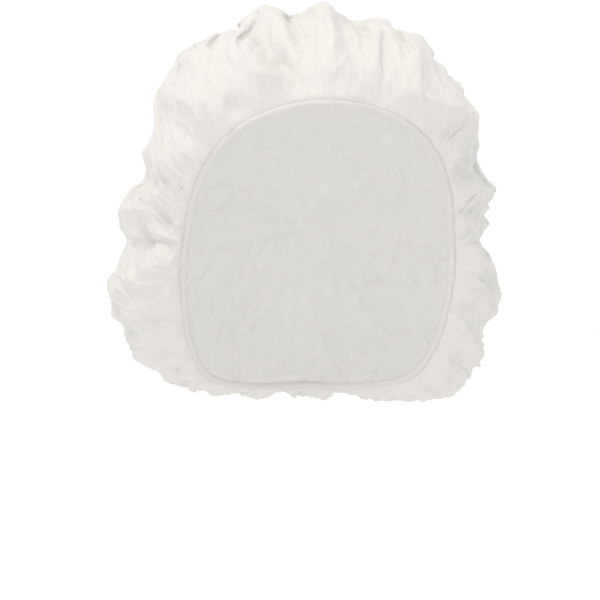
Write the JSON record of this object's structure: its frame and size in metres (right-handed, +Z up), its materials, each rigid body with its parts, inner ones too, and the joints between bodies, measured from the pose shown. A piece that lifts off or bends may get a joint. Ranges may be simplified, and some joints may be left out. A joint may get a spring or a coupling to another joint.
{
  "type": "disposable bouffant hairnet cap",
  "caption": "Puffed, gathered cap of thin white non-woven cloth with a rolled elastic hem, open at the face and neck, in its worn shape.",
  "frame": {"origin": "where the top of the wearer's head comes to, inside the crown, on the cap's middle plane; the cloth stands about 27 mm above it", "axes": "+Z up, the face looks out along -Y, +X towards the wearer's left"},
  "size_m": [0.229, 0.2363, 0.2411],
  "materials": {
    "spunbond_cloth": "thin translucent spun-bond polypropylene, matt",
    "rolled_hem": "spun-bond polypropylene rolled and gathered over elastic, matt"
  },
  "bodies": {
    "root": {"crown_over_brow": "spunbond_cloth", "crown_beside_plus_x": "spunbond_cloth", "crown_over_nape": "spunbond_cloth", "crown_beside_minus_x": "spunbond_cloth", "crown_back": "spunbond_cloth", "elastic_hem": "rolled_hem"}
  },
  "joints": []
}
